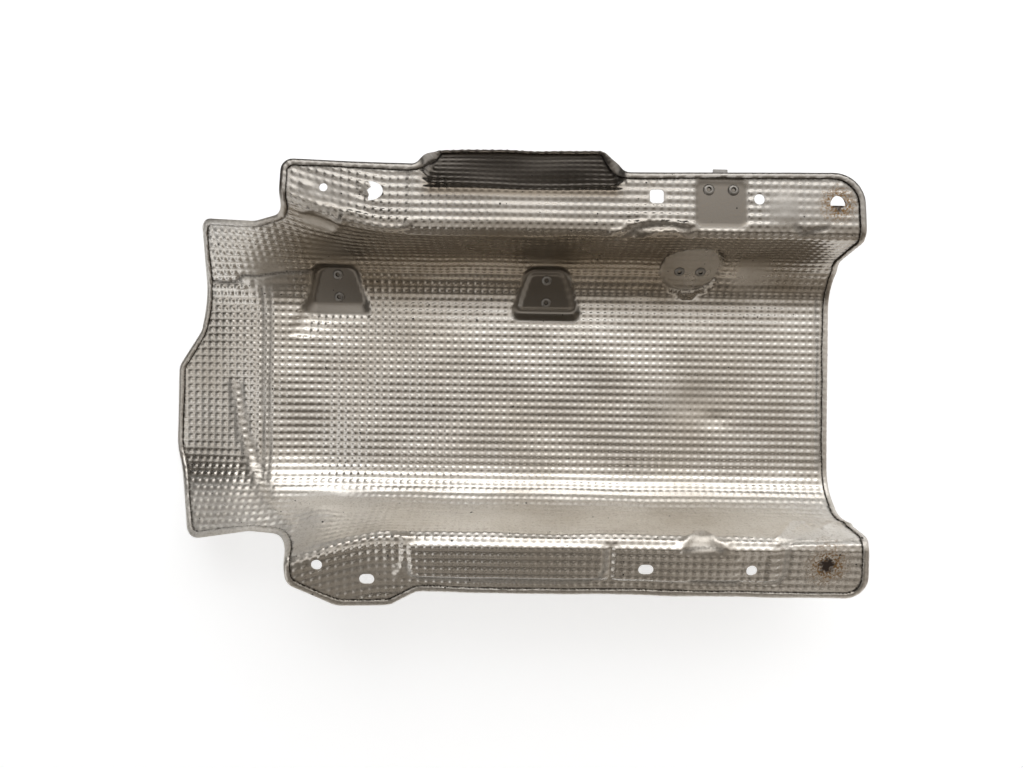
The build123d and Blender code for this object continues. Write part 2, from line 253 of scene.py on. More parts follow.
def pressPad(points, flat, spec):
    a, b, h, normal = formPlane(points, spec)
    gaps = edgeGaps(a, b, spec["top"], spec["bottom"], spec["height"])
    gap = roundGap(gaps, spec["round"])
    near = (gap < padEdge["reach"]) & (np.abs(h) < padEdge["rise"])
    shares = [np.maximum(g + spec["round"], 0.0) ** 2 + padEdge["least"] for g in gaps]
    lean = sum(w * math.tan(math.radians(s)) for w, s in zip(shares, spec["slopes"])) / sum(shares)
    floorH = np.maximum(gap, 0.0) / lean
    floorH = floorH + spec["plateau"] * smooth((-gap - spec["inset"]) / padEdge["plateau"])
    inside = smooth(0.5 - gap / padEdge["inside"])
    pressed = softMin(h, floorH, padEdge["soft"]) * (1.0 - inside) + floorH * inside
    points += np.where(near, pressed - h, 0.0)[:, None] * normal
    # sunk rim round the pad: with the pad itself it makes the flat share, which smooths the embossing and
    # carries painted shade
    sunk = smooth((h - pressed) / padEdge["sunk"]) * smooth((padEdge["shade"] - gap) / padEdge["fade"])
    return np.maximum(flat, np.where(near, np.maximum(sunk, inside), 0.0))


def pressDish(points, flat):
    a, b, h, normal = formPlane(points, dish)
    gap = np.hypot(a, b) - dish["radius"]
    near = (gap < dish["reach"]) & (np.abs(h) < dish["rise"])
    floorH = np.maximum(gap, 0.0) / math.tan(math.radians(dish["slope"]))
    pressed = softMin(h, floorH, dish["soft"])
    points += np.where(near, pressed - h, 0.0)[:, None] * normal
    # sunk inside of the dish: its share smooths the embossing and carries painted shade
    sunk = dish["shade"] * smooth((h - pressed) / dish["sunk"]) * smooth(0.5 - gap / dish["fade"])
    return np.maximum(flat, np.where(near, sunk, 0.0))


def liftSheet(points, angle, lift):
    points[:, 1] -= np.sin(angle) * lift
    points[:, 2] += np.cos(angle) * lift


def pressFlange(points, x, v, angle, spec, middleV, rise):
    gaps = (np.abs(x - spec["x"]) - spec["width"] / 2.0, np.abs(v - middleV) - spec["length"] / 2.0)
    gap = roundGap(gaps, spec["round"])
    slope = abs(rise) * stepSlope
    liftSheet(points, angle, rise * smooth((slope - gap) / (2.0 * slope)))
    return gap


seatV = girth(seat["x"], brim + seat["in"])
formPlaces = [
    (spec["x"], trough["floorHalf"] + trough["cornerRadius"] * math.radians(spec["turn"]), spec["calm"])
    for spec in (leftPad, centrePad, dish)
] + [(seat["x"], seatV, seat["calm"])]
panelV = [girth(spec["x"], -brim - spec["in"]) for spec in panels]

# dents and swellings: x, y, radius along x, radius along the girth, height
dents = [
    (177, -28, 10, 7, -1.3), (152, -14, 26, 16, -1.2), (-157, 147, 4, 3, 1),
    (203, 138, 9, 9, 0.7), (204, 128, 5, 4, 0.6), (-153, -107, 14, 15, 4.4),
    (-142, -96, 24, 8, -1.8), (241, -134, 8, 8, -1.1), (-40, -20, 60, 30, -0.7),
    (80, 25, 70, 26, 0.6), (146, -117, 12, 7, -2.6), (235, -112, 22, 7, -2.4),
    (-113, 147, 4, 3, 0.9), (-116, 140.5, 3.5, 3, -0.9), (-150, 123, 16, 7, -1.8),
    (-286, -50, 44, 48, -3.4), (96, 118, 18, 7, -1.4), (190, 92, 10, 18, 1),
    (-146, -125, 10, 4, -1.2), (30, 155, 30, 8, -0.8), (110, 80, 9, 5, -0.8),
    (20, -72, 240, 22, 1.1),
]
dentPlaces = [(x, girth(x, y), rx, rv, h) for x, y, rx, rv, h in dents]

# rolled marks pressed flat: x, y, radii along x and the girth, share lost (below zero: struck deeper)
wornPower = 1.6
worn = [
    (-147, 143, 27, 13, 0.7), (-150, 122, 18, 12, 0.95),
    (-150.5, 106, 20, 22, 0.85), (28.8, 106, 19, 24, 0.85), (-148, -101, 36, 16, 1),
    (-158, -122, 14, 24, 0.9), (-112, -149, 34, 13, 0.6), (203, 136, 15, 16, 0.9),
    (232, 138, 22, 14, 0.55), (200, 100, 20, 24, 0.8), (146, -117, 16, 11, 1),
    (232, -111, 34, 10, 0.9), (241, -134, 12, 12, 0.8), (-208, 86, 20, 18, 0.8),
    (152, -14, 34, 20, 0.45), (-106, -121, 32, 9, -0.5),
    (100, -121, 28, 8, -0.35), (-245, 86, 24, 24, -0.35), (-98, 126, 20, 8, -0.5),
    (104, 128, 24, 8, -0.5), (186, 128, 9, 9, -0.3), (6, 183, 78, 9, 1),
    (6, 168, 84, 24, 0.8), (-256, 60, 30, 40, -0.3),
]
wornPlaces = [(x, girth(x, y), rx, rv, share) for x, y, rx, rv, share in worn]

# folds, creases and pressed lines: height, half width, painted shade along them, points in plan
creaseReach, shadeNarrow = 3, 1.3
creases = [
    (-0.5, 1.5, 0.85, [(-212.9, 78), (-212.4, -17), (-209.2, -84)]),
    (-0.4, 1.5, 0.75, [(-207.6, 78), (-207.2, -17), (-204.2, -84)]),
    (-0.4, 1.5, 0.75, [(263, 77), (264.5, 3), (265.6, -70)]),
    (-1.1, 1.7, 1, [(-255, 83), (-243, 81.5), (-233, 82.8), (-227, 87.2), (-216, 86.7),
        (-199.6, 89.3), (-172, 92)]),
    (0.7, 2, 0, [(-255, 77), (-242, 76), (-231, 77.5), (-222, 82)]),
    (1.2, 4, 0.35, [(-239, -4), (-231.6, -43), (-221.4, -72.4), (-200, -102),
        (-174, -117)]),
    (-0.8, 2.4, 0.5, [(-233, -4), (-225, -44), (-215, -70), (-196, -98)]),
    (1.2, 2.4, 0, [(-143, 116.6), (-134, 118), (-129, 123.7), (-124.7, 127.9),
        (-112.6, 125.3)]),
    (1.1, 2.4, 0.2, [(-136, 121), (-122, 121.5), (-107, 118.6), (-85.6, 116), (-78.3, 120.3)]),
    (0.9, 2.4, 0.1, [(-163.4, 128.7), (-149, 130), (-136, 130.7)]),
    (0.7, 1.9, 0.15, [(-77.6, 160), (-76.8, 126)]),
    (1.3, 2.2, 0, [(70, 113), (84.8, 119.9), (100.5, 125.1), (117.8, 123.4), (129, 122.1)]),
    (-1.2, 2.2, 0.6, [(79.5, 111), (91.6, 117), (105, 121), (120.8, 121), (131, 117.5)]),
    (1.3, 2.2, 0, [(93, 112), (108, 116.5), (120.8, 117.6), (133, 112.5)]),
    (-0.9, 2, 0.7, [(210.8, 122), (217.3, 115), (223.1, 117), (236, 121)]),
    (1.6, 2.6, 0, [(128, -121.8), (135.7, -114), (144.5, -110.5), (151.4, -111), (156, -116),
        (163, -119)]),
    (-1, 2, 0.7, [(132, -123), (142, -121), (152, -120), (160, -122.5)]),
    (1.6, 2.8, 0, [(204.5, -112), (214, -110), (226, -107.5), (238, -107), (246, -109),
        (262, -107), (270, -108)]),
    (-1.2, 2.2, 0.5, [(206, -117), (222, -114.5), (240, -114), (258, -113),
        (268, -113.5)]),
    (-0.8, 2, 0.4, [(222, -112), (211, -117), (209.4, -130), (209.8, -142.4), (205.2, -148),
        (195, -148.5)]),
    (-0.9, 2, 0.8, [(139, -148.2), (160, -148.8), (174.4, -148.8)]),
    (1.1, 2.4, 0, [(-86, -115), (-77, -116), (-79, -134), (-84, -147)]),
    (-0.5, 1.6, 0.7, [(-79, -136), (-76, -146), (-67, -149.6), (60, -149.6), (69, -147),
        (73, -139), (73, -124)]),
    (0.8, 3.2, 0.1, [(-80, 111.5), (-48, 112.5), (-10, 111.8), (30, 111.2)]),
]
creasePaths = [
    (height, width, dirt, [(x, girth(x, y)) for x, y in line]) for height, width, dirt, line in creases
]

# slow unevenness of a used sheet: crossing waves, the longest first, none near the ends and the pressed forms
uneven = {
    "slope": 0.013, "lengths": (110.0, 74.0, 52.0, 37.0), "each": 3, "seed": 11, "right": (265.0, 40.0),
    "left": (-285.0, 50.0), "fade": 22.0,
}
waveChance = np.random.default_rng(uneven["seed"])
waveSet = []
for length in uneven["lengths"]:
    for turn, phase in waveChance.uniform(0.0, math.tau, (uneven["each"], 2)):
        turns = math.tau / length
        waveSet.append((math.cos(turn) * turns, math.sin(turn) * turns, phase, uneven["slope"] / turns))


def unevenness(x, v):
    (right, rightFade), (left, leftFade) = uneven["right"], uneven["left"]
    calm = smooth((right - x) / rightFade) * smooth((x - left) / leftFade)
    for fx, fv, reach in formPlaces:
        calm = calm * smooth((np.hypot(x - fx, v - fv) - reach) / uneven["fade"])
    return calm * sum(height * np.sin(kx * x + kv * v + phase) for kx, kv, phase, height in waveSet)


def lineGap(x, v, path):
    best = np.full(len(x), np.inf)
    for (x0, v0), (x1, v1) in zip(path[:-1], path[1:]):
        dx, dv = x1 - x0, v1 - v0
        t = np.clip(((x - x0) * dx + (v - v0) * dv) / (dx * dx + dv * dv), 0.0, 1.0)
        best = np.minimum(best, np.hypot(x - x0 - t * dx, v - v0 - t * dv))
    return best


def creaseField(x, v):
    lift, dirt = np.zeros(len(x)), np.zeros(len(x))
    for height, width, shadeShare, path in creasePaths:
        reach = creaseReach * width
        low, high = np.min(path, axis=0) - reach, np.max(path, axis=0) + reach
        near = np.nonzero((x > low[0]) & (x < high[0]) & (v > low[1]) & (v < high[1]))[0]
        gap = lineGap(x[near], v[near], path) / width
        lift[near] += height * np.exp(-gap ** 2)
        # painted shade along the crease
        dirt[near] = np.maximum(dirt[near], shadeShare * np.exp(-(shadeNarrow * gap) ** 2))
    return lift, dirt


def wornField(x, v):
    loss = np.zeros(len(x))
    for wx, wv, rx, rv, share in wornPlaces:
        amount = share * np.exp(-(((x - wx) / rx) ** 2 + ((v - wv) / rv) ** 2) ** wornPower)
        loss = np.where(np.abs(amount) > np.abs(loss), amount, loss)
    return loss


def surfaceAt(x, v):
    angle = sample(tableA, x, v)
    points = np.stack([x, sample(tableY, x, v), sample(tableZ, x, v)], axis=1)
    lift = unevenness(x, v) + creaseField(x, v)[0]
    for dx, dv, rx, rv, h in dentPlaces:
        lift += h * np.exp(-((x - dx) / rx) ** 2 - ((v - dv) / rv) ** 2)
    liftSheet(points, angle, lift)
    flat = np.zeros(len(x))
    for spec in (leftPad, centrePad):
        flat = pressPad(points, flat, spec)
    flat = pressDish(points, flat)
    gap = pressFlange(points, x, v, angle, seat, seatV, -seat["depth"])
    # the seat's share smooths the embossing and carries painted shade
    flat = np.maximum(flat, smooth((seat["edge"] - gap) / seat["fade"]))
    for spec, middle in zip(panels, panelV):
        pressFlange(points, x, v, angle, spec, middle, spec["rise"])
    return points, flat


def surfaceFrame(x, v):
    points, flat = surfaceAt(x, v)
    probe = 0.6
    alongX = surfaceAt(x + probe, v)[0] - surfaceAt(x - probe, v)[0]
    alongV = surfaceAt(x, v + probe)[0] - surfaceAt(x, v - probe)[0]
    normal = np.cross(alongX, alongV)
    normal /= np.linalg.norm(normal, axis=1)[:, None]
    return points, normal, flat


# outline of the sheet seen from above: corner x, y and rounding
def planCorners():
    upper, lower = brim + flange["upperWidth"], hem["trim"] - brim - flange["lowerWidth"]
    tabEdge, right = brim + tab["width"] - tab["trim"], trough["rightEdge"]
    mouthUpper, mouthLower = brim + mouth["upperWidth"], -brim - mouth["lowerWidth"]
    left, lowLeft, lip = flange["left"], flange["lowerLeft"], mouth["edge"]
    bulge, depth = flange["bulgeRight"], flange["bulgeDepth"]
    return [
        (left, upper + 2.5, 9), (tab["left"] - tab["run"], upper, 6), (tab["left"], tabEdge, 6),
        (tab["right"] - 2, tabEdge, 8), (tab["right"] + tab["run"] - 3, upper - 4, 6),
        (right - 9, upper - 1.5, 24), (right - 8, brim - 7, 8), (right, brim - 21, 8),
        (right + 1, 22 - brim, 8), (right - 3, 2 - brim, 8),
        (right + 3, lower, 16), (bulge, lower, 10), (bulge - 1.75 * depth, lower - depth + 0.5, 12),
        (flange["bulgeLeft"], lower - depth, 18), (lowLeft + 1, lower + 7, 11),
        (lowLeft - 1, mouthLower + 3, 20), (lowLeft - 39, mouthLower + 4, 20),
        (lip + 29, mouthLower - 5, 13), (lip - 1, mouthLower + 66, 40),
        (lip + 1, mouthUpper - 117, 14), (lip + 21, mouthUpper - 86, 16), (lip + 37, mouthUpper + 1, 9),
        (left - 29, mouthUpper - 3, 24), (left - 1, mouthUpper + 1, 12),
    ]


def filletLoop(corners):
    line, steps = [], 8
    for n, (x, y, r) in enumerate(corners):
        here = np.array((x, y))
        back = np.array(corners[n - 1][:2]) - here
        ahead = np.array(corners[(n + 1) % len(corners)][:2]) - here
        back /= np.linalg.norm(back)
        ahead /= np.linalg.norm(ahead)
        half = math.acos(max(-1.0, min(1.0, float(back @ ahead)))) / 2.0
        middle = here + (back + ahead) / np.linalg.norm(back + ahead) * r / math.sin(half)
        start, end = here + back * r / math.tan(half) - middle, here + ahead * r / math.tan(half) - middle
        turn = math.atan2(start[0] * end[1] - start[1] * end[0], float(start @ end))
        for k in range(steps + 1):
            c, s = math.cos(turn * k / steps), math.sin(turn * k / steps)
            line.append(middle + np.array((c * start[0] - s * start[1], s * start[0] + c * start[1])))
    return np.array(line)


def evenLoop(line, step):
    closed = np.concatenate([line, line[:1]])
    run = np.concatenate([[0.0], np.cumsum(np.linalg.norm(np.diff(closed, axis=0), axis=1))])
    count = int(round(run[-1] / step))
    places = np.arange(count) * run[-1] / count
    return np.stack([np.interp(places, run, closed[:, k]) for k in range(2)], axis=1)


def turnedRight(line):
    nextLine = np.roll(line, -1, axis=0)
    area = np.sum(line[:, 0] * nextLine[:, 1] - nextLine[:, 0] * line[:, 1])
    return line if area > 0 else line[::-1].copy()


def insetLoop(line, amount):
    along = np.roll(line, -1, axis=0) - np.roll(line, 1, axis=0)
    along /= np.linalg.norm(along, axis=1)[:, None]
    return line + amount * np.stack([-along[:, 1], along[:, 0]], axis=1)


def developed(line):
    return np.stack([line[:, 0], girthAt(line[:, 0], line[:, 1])], axis=1)


# rim of the sheet and its folded hem. sways: length, share and phase of the waves in its width.
# rows: share of its width in from the rim, height over the back face, painted shade in the gap at its inner
# edge
hem = {
    "width": 4.8, "step": 2.4, "waves": 0.32, "waved": 2.0, "trim": 0.4, "sway": 0.06, "planStep": 1.2,
    "backInset": 1.0, "sways": ((31.0, 1.0, 0.0), (13.0, 0.8, 1.0), (6.1, 0.5, 2.0)),
    "rows": (
        (0.975, 1.95, 1.0), (0.93, 2.62, 0.35), (0.5, 2.78, 0.0), (0.26, 2.5, 0.0),
        (0.09, 2.05, 0.0), (0.0, 1.3, 0.0), (0.08, 0.25, 0.0),
    ),
}
rimPlan = evenLoop(filletLoop(planCorners()), hem["planStep"])
rimLoop = evenLoop(turnedRight(developed(rimPlan)), hem["step"])
rimRun = np.arange(len(rimLoop)) * hem["step"]
rimSway = sum(share * np.sin(rimRun / length + phase) for length, share, phase in hem["sways"])
innerLoop = insetLoop(rimLoop, (hem["width"] * (1.0 + hem["sway"] * rimSway))[:, None])
print("rim points:", len(rimLoop))

# holes in the flanges, seen from above
holes = {
    "round": [
        (-144.0, brim + 26.2, 3.1), (184.5, brim + 22.2, 4.0),
        (-144.6, -brim - 18.7, 4.0), (184.0, -brim - 18.7, 4.0),
    ],
    "slots": [(103.7, -brim - 18.7, 11.4, 8.0), (-108.0, -brim - 30.7, 11.4, 8.0)],
    "square": (107.2, brim + 23.2, 10.6), "dome": (243.4, brim + 18.2, 11.4, 7.6),
    "torn": (-105.5, brim + 24.2, 12.6, 15.0), "tornShift": 4.5,
    "jagged": ((-3.4, 4.5), (-2.8, 3.0), (-5.5, 0.5), (-4.0, -3.0), (-4.8, -5.5)),
    "roundSides": 24, "slotSides": 11, "arcSides": 16,
}


def arcPoints(x, y, rx, ry, start, end, count):
    turns = [start + (end - start) * k / count for k in range(count + 1)]
    return [(x + rx * math.cos(turn), y + ry * math.sin(turn)) for turn in turns]


def holeLoops():
    quarter = math.pi / 2
    loops = [arcPoints(x, y, r, r, 0.0, math.tau, holes["roundSides"])[:-1] for x, y, r in holes["round"]]
    for x, y, length, width in holes["slots"]:
        run, r = (length - width) / 2.0, width / 2.0
        rightEnd = arcPoints(x + run, y, r, r, -quarter, quarter, holes["slotSides"])
        loops.append(rightEnd + arcPoints(x - run, y, r, r, quarter, 3 * quarter, holes["slotSides"]))
    x, y, size = holes["square"]
    signs = ((1, -1), (1, 1), (-1, 1), (-1, -1))
    corners = [(x + sx * size / 2, y + sy * size / 2, size / 4) for sx, sy in signs]
    loops.append([tuple(p) for p in filletLoop(corners)])
    x, y, width, height = holes["dome"]
    arch = arcPoints(x, y, width / 2, height, 0.0, math.pi, holes["arcSides"])
    loops.append(arch + [(x - width / 4, y), (x, y), (x + width / 4, y)])
    x, y, width, height = holes["torn"]
    shift = holes["tornShift"]
    arch = arcPoints(x - shift, y, width / 2 + shift, height / 2.0, -quarter, quarter, holes["arcSides"])
    loops.append(arch + [(x + dx, y + dy) for dx, dy in holes["jagged"]])
    return [turnedRight(developed(np.array(loop))) for loop in loops]


holeLines = holeLoops()


def insideLoop(points, line):
    inside = np.zeros(len(points), dtype=bool)
    ends = np.roll(line, -1, axis=0)
    for (x0, y0), (x1, y1) in zip(line, ends):
        crosses = (y0 > points[:, 1]) != (y1 > points[:, 1])
        if crosses.any():
            at = x0 + (points[:, 1] - y0) / (y1 - y0) * (x1 - x0)
            inside ^= crosses & (points[:, 0] < at)
    return inside


def onSheet(points, outer, inners):
    inside = insideLoop(points, outer)
    for line in inners:
        inside &= ~insideLoop(points, line)
    return inside


# rolled embossing in millimetres. cells: mesh cells to a mark along the length and the girth, top and back.
# along: middle and swing of a row's height along it; fine: height of the shader's crisp edges
emboss = {
    "pitch": 6.15, "depth": 0.5, "topCells": (3, 4), "backCells": (2, 2), "backShare": 0.45,
    "unevenness": 0.35, "rowShare": 0.3, "along": (0.55, 0.45), "noise": 38.0, "fine": 0.16, "fineRow": 0.4,
    "hemFade": (0.4, 2.5), "flatFrom": 0.05, "sharp": 50.0,
}
# fitting of a skin: step along its loops, least room of a node and of a whole cell, join distance
skin = {"step": 0.5, "nodeRoom": 0.45, "cellRoom": 1.25, "join": 1e-5}


def loopTree(loops):
    spots = [p for loop in loops for p in loop]
    tree = kdtree.KDTree(len(spots))
    for n, p in enumerate(spots):
        tree.insert((p[0], p[1], 0.0), n)
    tree.balance()
    return tree


# one skin of the sheet: a grid of cells in the middle, fitted triangles along the rim and the holes
def makeSkin(outer, inners, cells):
    cell = emboss["pitch"] / cells[0]
    stretch = np.array((1.0, cells[1] / cells[0]))
    outer, inners = outer * stretch, [line * stretch for line in inners]
    tree = loopTree([evenLoop(line, skin["step"]) for line in [outer] + inners])
    low, high = outer.min(axis=0), outer.max(axis=0)
    i0, j0 = int(math.floor(low[0] / cell)), int(math.floor(low[1] / cell))
    ni, nj = int(math.ceil(high[0] / cell)) - i0 + 1, int(math.ceil(high[1] / cell)) - j0 + 1
    ii, jj = np.meshgrid(np.arange(ni), np.arange(nj), indexing="ij")
    nodes = np.stack([(ii.ravel() + i0) * cell, (jj.ravel() + j0) * cell], axis=1)
    keep = onSheet(nodes, outer, inners)
    far = np.array([tree.find((p[0], p[1], 0.0))[2] if k else 0.0 for p, k in zip(nodes, keep)])
    keep = (keep & (far > skin["nodeRoom"] * cell)).reshape(ni, nj)
    roomy = (far > skin["cellRoom"] * cell).reshape(ni, nj)
    full = roomy[:-1, :-1] & roomy[1:, :-1] & roomy[:-1, 1:] & roomy[1:, 1:]
    padded = np.pad(full, 1)
    edge = keep & ~(padded[:-1, :-1] & padded[1:, :-1] & padded[:-1, 1:] & padded[1:, 1:])
    order = -np.ones((ni, nj), dtype=int)
    loops, start = [], 0
    for line in [outer] + inners:
        loops.append(np.arange(start, start + len(line)))
        start += len(line)
    edgeI, edgeJ = np.nonzero(edge)
    order[edgeI, edgeJ] = start + np.arange(len(edgeI))
    bandCount = start + len(edgeI)
    restI, restJ = np.nonzero(keep & ~edge)
    order[restI, restJ] = bandCount + np.arange(len(restI))
    flatNodes = nodes.reshape(ni, nj, 2)
    places = np.concatenate([outer] + inners + [flatNodes[edgeI, edgeJ], flatNodes[restI, restJ]])
    links = [(int(loop[k]), int(loop[(k + 1) % len(loop)])) for loop in loops for k in range(len(loop))]
    acrossX = padded[1:, 1:-1] != padded[:-1, 1:-1]
    acrossV = padded[1:-1, 1:] != padded[1:-1, :-1]
    for across, di, dj in ((acrossX, 0, 1), (acrossV, 1, 0)):
        links += [(int(order[i, j]), int(order[i + di, j + dj])) for i, j in zip(*np.nonzero(across))]
    result = delaunay_2d_cdt([Vector(p) for p in places[:bandCount]], links, [], 0, skin["join"])
    first = [ids[0] if ids else -1 for ids in result[3]]
    if min(first) < 0:
        raise RuntimeError("the skin's loops cross")
    triangles = np.array([[first[k] for k in face] for face in result[2]])
    centres = places[triangles].mean(axis=1)
    good = onSheet(centres, outer, inners)
    ci = np.clip(np.floor(centres[:, 0] / cell).astype(int) - i0, 0, ni - 2)
    cj = np.clip(np.floor(centres[:, 1] / cell).astype(int) - j0, 0, nj - 2)
    good &= ~full[ci, cj]
    faces = [tuple(int(k) for k in tri) for tri in triangles[good]]
    fi, fj = np.nonzero(full)
    quads = np.stack([order[fi, fj], order[fi + 1, fj], order[fi + 1, fj + 1], order[fi, fj + 1]], axis=1)
    faces += [tuple(int(k) for k in quad) for quad in quads]
    return places / stretch, faces, loops


def facingUp(places, faces):
    turned = []
    for face in faces:
        (ax, ay), (bx, by), (cx, cy) = places[face[0]], places[face[1]], places[face[2]]
        turned.append(face if (bx - ax) * (cy - ay) - (cx - ax) * (by - ay) > 0 else face[::-1])
    return turned


def buildSheet():
    topPlaces, topFaces, topLoops = makeSkin(innerLoop, holeLines, emboss["topCells"])
    backRim = insetLoop(rimLoop, hem["backInset"])
    backPlaces, backFaces, backLoops = makeSkin(backRim, holeLines, emboss["backCells"])
    topFaces, backFaces = facingUp(topPlaces, topFaces), facingUp(backPlaces, backFaces)
    deep = emboss["depth"]
    topPoints, topNormals, topFlat = surfaceFrame(*topPlaces.T)
    backPoints, backFlat = surfaceAt(*backPlaces.T)
    backTurn = sample(tableA, *backPlaces.T)
    backNormals = np.stack([0.0 * backTurn, -np.sin(backTurn), np.cos(backTurn)], axis=1)
    backLoss = np.maximum(backFlat, np.maximum(wornField(*backPlaces.T), 0.0))
    topLoss = wornField(*topPlaces.T)
    topLoss = np.where(topFlat > emboss["flatFrom"], np.maximum(topLoss, topFlat), topLoss)
    points = [
        topPoints - topNormals * (deep * (1.0 - topFlat))[:, None],
        backPoints - backNormals * (trough["sheet"] - 0.5 * deep),
    ]
    normals = [topNormals, backNormals]
    grid = [topPlaces, backPlaces]
    tree = loopTree([innerLoop])
    toHem = np.array([tree.find((p[0], p[1], 0.0))[2] for p in topPlaces])
    hemFrom, hemFade = emboss["hemFade"]
    plain = np.zeros(len(backPlaces))
    fields = {
        "embossed": [
            (1.0 - topLoss) * smooth((toHem - hemFrom) / hemFade), emboss["backShare"] * (1.0 - backLoss),
        ],
        # painted shade on the sheet along the hem's inner edge
        "groove": [smooth(1.0 - toHem), plain],
        "smoothed": [np.clip(topLoss, 0.0, 1.0), np.clip(backLoss, 0.0, 1.0)],
        # painted shade along the creases
        "dirt": [creaseField(*topPlaces.T)[1], plain],
        # painted shade of the pads, the dish and the seat
        "pressed": [topFlat, backFlat],
    }
    for mask, loops in zip(fields["embossed"], (topLoops, backLoops)):
        mask[np.concatenate(loops)] = 0.0
    shift = len(topPlaces)
    faces = topFaces + [tuple(k + shift for k in face[::-1]) for face in backFaces]
    total = shift + len(backPlaces)
    count = len(rimLoop)
    wave = hem["waves"] * np.sin(np.arange(count) * hem["step"] * math.tau / emboss["pitch"])
    ring = [topLoops[0]]
    for share, level, dark in hem["rows"]:
        places = rimLoop + (innerLoop - rimLoop) * share
        rowPoints, rowNormals = surfaceFrame(*places.T)[:2]
        waved = level > hem["waved"]
        level = level + wave * waved - hem["waves"] * waved
        points.append(rowPoints + rowNormals * (level - trough["sheet"])[:, None])
        normals.append(rowNormals)
        grid.append(places)
        for name, values in fields.items():
            values.append(np.full(count, {"groove": dark, "smoothed": 1.0}.get(name, 0.0)))
        ring.append(np.arange(total, total + count))
        total += count
    ring.append(backLoops[0] + shift)
    for upperRow, lowerRow in zip(ring[:-1], ring[1:]):
        for k in range(count):
            m = (k + 1) % count
            faces.append((int(upperRow[m]), int(upperRow[k]), int(lowerRow[k]), int(lowerRow[m])))
    for upperRow, lowerRow in zip(topLoops[1:], backLoops[1:]):
        n = len(upperRow)
        for k in range(n):
            m = (k + 1) % n
            low, high = int(lowerRow[k] + shift), int(lowerRow[m] + shift)
            faces.append((int(upperRow[k]), int(upperRow[m]), high, low))
    mesh = bpy.data.meshes.new("sheet")
    mesh.from_pydata((np.concatenate(points) * mm).tolist(), [], faces)
    grid, normals = np.concatenate(grid), np.concatenate(normals)
    fields = {name: np.concatenate(values) for name, values in fields.items()}
    for name, values in {"gridU": grid[:, 0], "gridV": grid[:, 1], **fields}.items():
        mesh.attributes.new(name, "FLOAT", "POINT").data.foreach_set("value", values.astype(np.float32))
    facing = mesh.attributes.new("sheetNormal", "FLOAT_VECTOR", "POINT")
    facing.data.foreach_set("vector", normals.astype(np.float32).ravel())
    mesh.update()
    return mesh


def addPiece(name, mesh):
    piece = bpy.data.objects.new(name, mesh)
    scene.collection.objects.link(piece)
    return piece


def nodeMaker(tree):
    def make(kind, inputs=None, **settings):
        node = tree.nodes.new(kind)
        for key, value in settings.items():
            setattr(node, key, value)
        for key, value in (inputs or {}).items():
            if isinstance(value, bpy.types.NodeSocket):
                tree.links.new(value, node.inputs[key])
            else:
                node.inputs[key].default_value = value
        return node
    return make


def applyNodes(piece, tree, values):
    modifier = piece.modifiers.new("nodes", "NODES")
    modifier.node_group = tree
    for item in tree.interface.items_tree:
        if item.item_type == "SOCKET" and item.in_out == "INPUT" and item.name in values:
            modifier[item.identifier] = values[item.name]
    bpy.context.view_layer.update()
    graph = bpy.context.evaluated_depsgraph_get()
    shown = piece.evaluated_get(graph)
    mesh = bpy.data.meshes.new_from_object(shown, preserve_all_data_layers=True, depsgraph=graph)
    piece.modifiers.remove(modifier)
    old = piece.data
    piece.data = mesh
    bpy.data.meshes.remove(old)
    mesh.name = piece.name
    return mesh


# geometry tree with a geometry input and output, and the inputs named
def shapeTree(name, inputs):
    tree = bpy.data.node_groups.new(name, "GeometryNodeTree")
    tree.interface.new_socket("Geometry", in_out="INPUT", socket_type="NodeSocketGeometry")
    for socket, kind in inputs:
        tree.interface.new_socket(socket, in_out="INPUT", socket_type=kind)
    tree.interface.new_socket("Geometry", in_out="OUTPUT", socket_type="NodeSocketGeometry")
    make = nodeMaker(tree)
    return tree, make, make("NodeGroupInput").outputs


def closeShape(make, geometry, material):
    realized = make("GeometryNodeRealizeInstances", {0: geometry})
    painted = make("GeometryNodeSetMaterial", {0: realized.outputs[0], "Material": material})
    make("NodeGroupOutput", {0: painted.outputs[0]})


# maker for the tree that a given socket belongs to
def makerOf(*values):
    return nodeMaker(next(value for value in values if isinstance(value, bpy.types.NodeSocket)).id_data)


def calc(kind, a, b=0.0):
    return makerOf(a, b)("ShaderNodeMath", {0: a, 1: b}, operation=kind).outputs[0]


def times(product, *others):
    for other in others:
        product = calc("MULTIPLY", product, other)
    return product


def cosine(turn):
    return makerOf(turn)("ShaderNodeMath", {0: turn}, operation="COSINE").outputs[0]


def vectorCalc(kind, a, b):
    return makerOf(a, b)("ShaderNodeVectorMath", {0: a, 1: b}, operation=kind).outputs[0]


def noise(make, inputs):
    return make("ShaderNodeTexNoise", inputs).outputs[0]


def ranged(value, low, high, outLow=0.0, outHigh=1.0, kind="LINEAR"):
    inputs = {0: value, 1: low, 2: high, 3: outLow, 4: outHigh}
    return makerOf(value)("ShaderNodeMapRange", inputs, interpolation_type=kind).outputs[0]


# height of a row of marks along the row
def rowSwing(wave):
    middle, swing = emboss["along"]
    return calc("ADD", middle, times(wave, swing))


